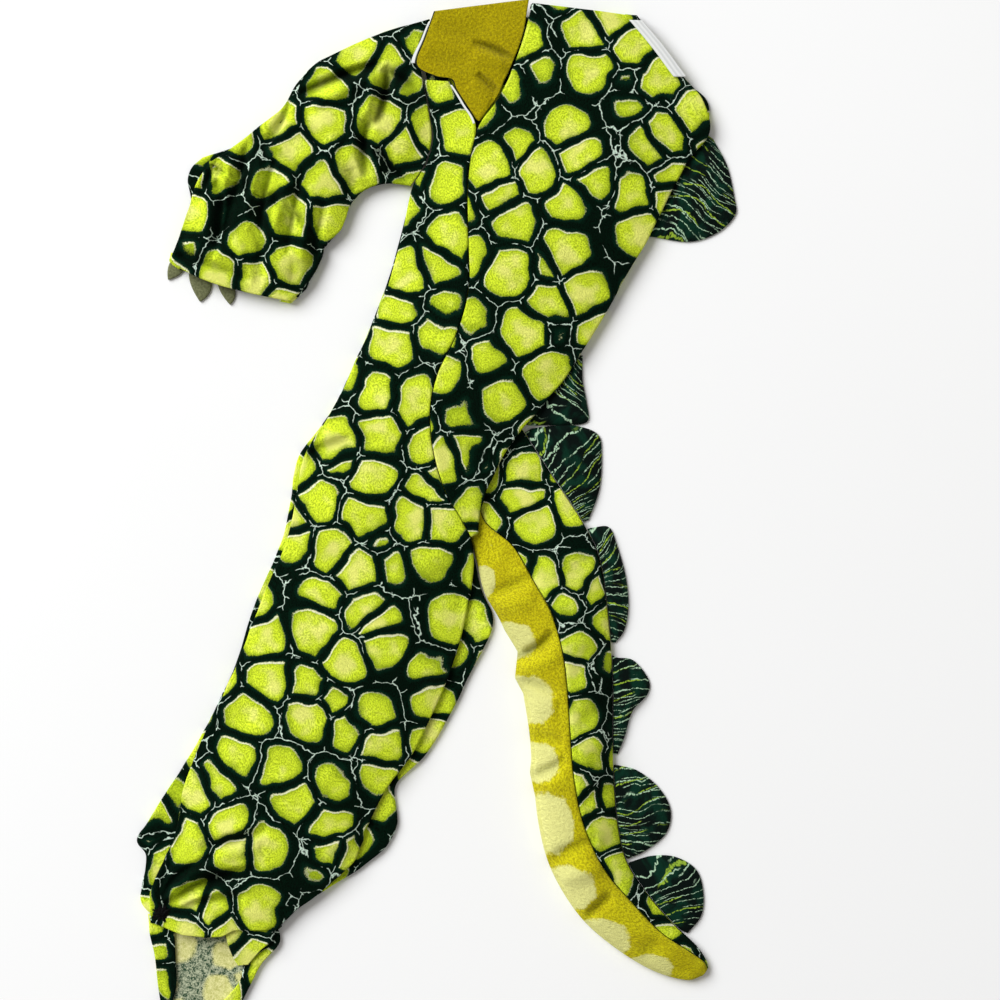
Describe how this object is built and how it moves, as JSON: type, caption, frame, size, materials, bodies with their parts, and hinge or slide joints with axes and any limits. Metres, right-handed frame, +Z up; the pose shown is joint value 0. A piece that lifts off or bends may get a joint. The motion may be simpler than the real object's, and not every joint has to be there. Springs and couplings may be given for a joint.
{
  "type": "dinosaur costume",
  "caption": "Child's plush dinosaur jumpsuit lying folded in half on its side, with gathered sleeve and hand cover, felt claws, back plates, stuffed tail and open foot cover.",
  "frame": {"origin": "on the surface the costume lies on, under the middle of its bounding box", "axes": "+Y towards the neck along the laid-out garment, +X towards the back plates, +Z up from the surface"},
  "size_m": [0.598, 1.012, 0.03],
  "materials": {
    "scale_plush": "short-nap plush printed with lime scales on a near-black green ground",
    "belly_fleece": "mustard yellow plush with pale yellow patches",
    "plate_plush": "dark green plush with fine pale streaks",
    "claw_felt": "olive felt",
    "tape_white": "white hook-and-loop tape",
    "wrong_side": "knitted wrong side of the plush with the print showing through pale"
  },
  "bodies": {
    "root": {"near_front_leg_panel": "scale_plush", "near_back_panel": "scale_plush", "far_body_and_leg": "scale_plush", "near_sleeve": "scale_plush", "near_hand_cover": "scale_plush", "far_sleeve": "scale_plush", "tail_belly": "belly_fleece", "tail_near_side": "scale_plush", "tail_far_side": "scale_plush", "plate_1": "plate_plush", "plate_2": "plate_plush", "plate_3": "plate_plush", "plate_4": "plate_plush", "plate_5": "plate_plush", "plate_6": "plate_plush", "plate_7": "plate_plush", "neck_facing": "belly_fleece", "front_tape_upper": "tape_white", "front_tape_lower": "tape_white", "back_neck_tape": "tape_white", "foot_back": "wrong_side", "foot_near_left": "scale_plush", "foot_near_right": "scale_plush", "ankle_flap": "scale_plush", "claw_1": "claw_felt", "claw_2": "claw_felt", "claw_3": "claw_felt"}
  },
  "joints": []
}
